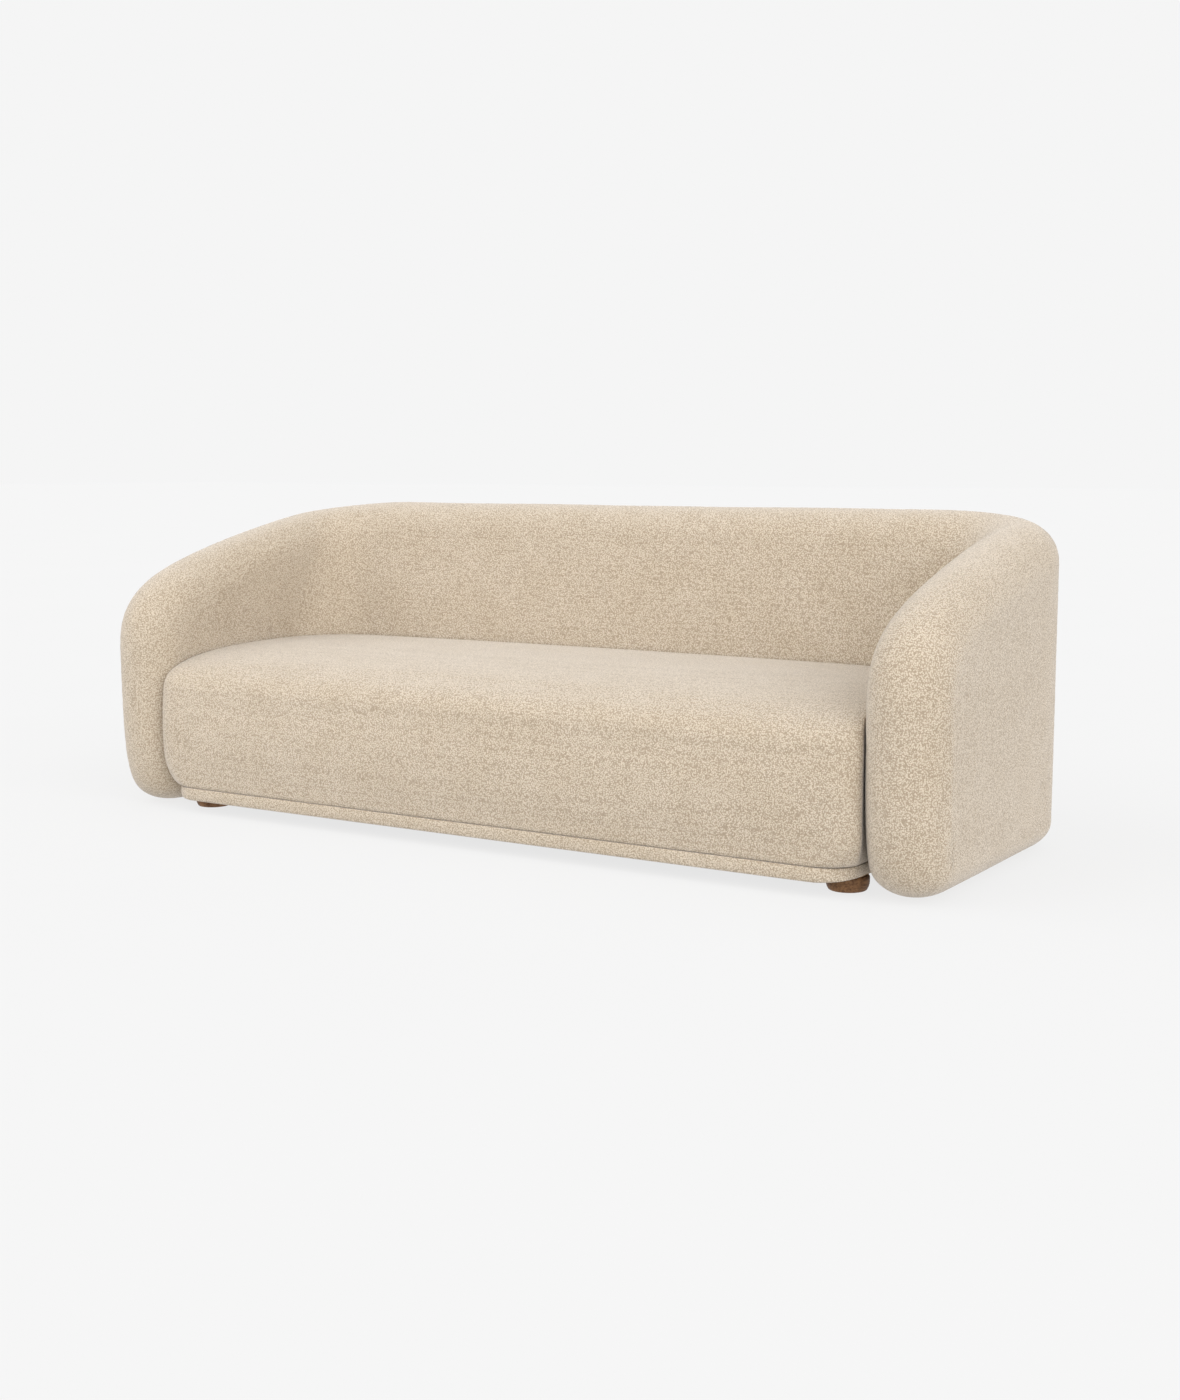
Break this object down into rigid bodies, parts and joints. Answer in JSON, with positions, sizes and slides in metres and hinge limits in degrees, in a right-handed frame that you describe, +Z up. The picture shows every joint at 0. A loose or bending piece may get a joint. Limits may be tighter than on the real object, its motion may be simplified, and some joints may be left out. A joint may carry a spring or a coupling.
{
  "type": "upholstered sofa",
  "caption": "Long upholstered sofa with a continuous rounded wrap-around back and arms, a bench seat and low turned wooden puck feet.",
  "frame": {"origin": "centre of the bounding box in plan, on the floor", "axes": "+X along the width towards the arm on the right when seen from the front; the front faces -Y; +Z up"},
  "size_m": [2.26, 0.914, 0.77],
  "materials": {
    "boucle": "matte",
    "foam": "matte",
    "walnut": "satin",
    "pine": "matte",
    "plywood": "matte",
    "steel": "satin",
    "plastic": "matte",
    "lining": "matte",
    "webbing": "matte"
  },
  "bodies": {
    "root": {"foot_front_left": "walnut", "foot_glide_front_left": "plastic", "foot_bolt_front_left": "steel", "corner_block_front_left": "pine", "foot_front_right": "walnut", "foot_glide_front_right": "plastic", "foot_bolt_front_right": "steel", "corner_block_front_right": "pine", "foot_rear_left": "walnut", "foot_glide_rear_left": "plastic", "foot_bolt_rear_left": "steel", "corner_block_rear_left": "pine", "foot_rear_right": "walnut", "foot_glide_rear_right": "plastic", "foot_bolt_rear_right": "steel", "corner_block_rear_right": "pine", "foot_center": "walnut", "foot_glide_center": "plastic", "foot_bolt_center": "steel", "base_band": "boucle", "dust_cover": "lining", "seat_front_rail": "plywood", "seat_rear_rail": "plywood", "seat_center_brace": "pine", "spring_clip_rail_front": "plastic", "spring_clip_rail_rear": "plastic", "seat_spring_1": "steel", "seat_spring_2": "steel", "seat_spring_3": "steel", "seat_spring_4": "steel", "seat_spring_5": "steel", "seat_spring_6": "steel", "seat_spring_7": "steel", "seat_spring_8": "steel", "deck_felt": "lining", "seat_foam": "foam", "seat_cover": "boucle", "seat_side_rail_left": "plywood", "arm_panel_left": "plywood", "arm_front_post_left": "pine", "back_corner_post_left": "pine", "back_leveller_left": "plastic", "seat_side_rail_right": "plywood", "arm_panel_right": "plywood", "arm_front_post_right": "pine", "back_corner_post_right": "pine", "back_leveller_right": "plastic", "back_top_rail": "pine", "back_bottom_rail": "pine", "back_upright_left": "pine", "back_upright_middle": "pine", "back_upright_right": "pine", "back_webbing": "webbing", "arm_foam_left": "foam", "arm_foam_right": "foam", "back_foam": "foam", "wrap_cover": "boucle"}
  },
  "joints": []
}
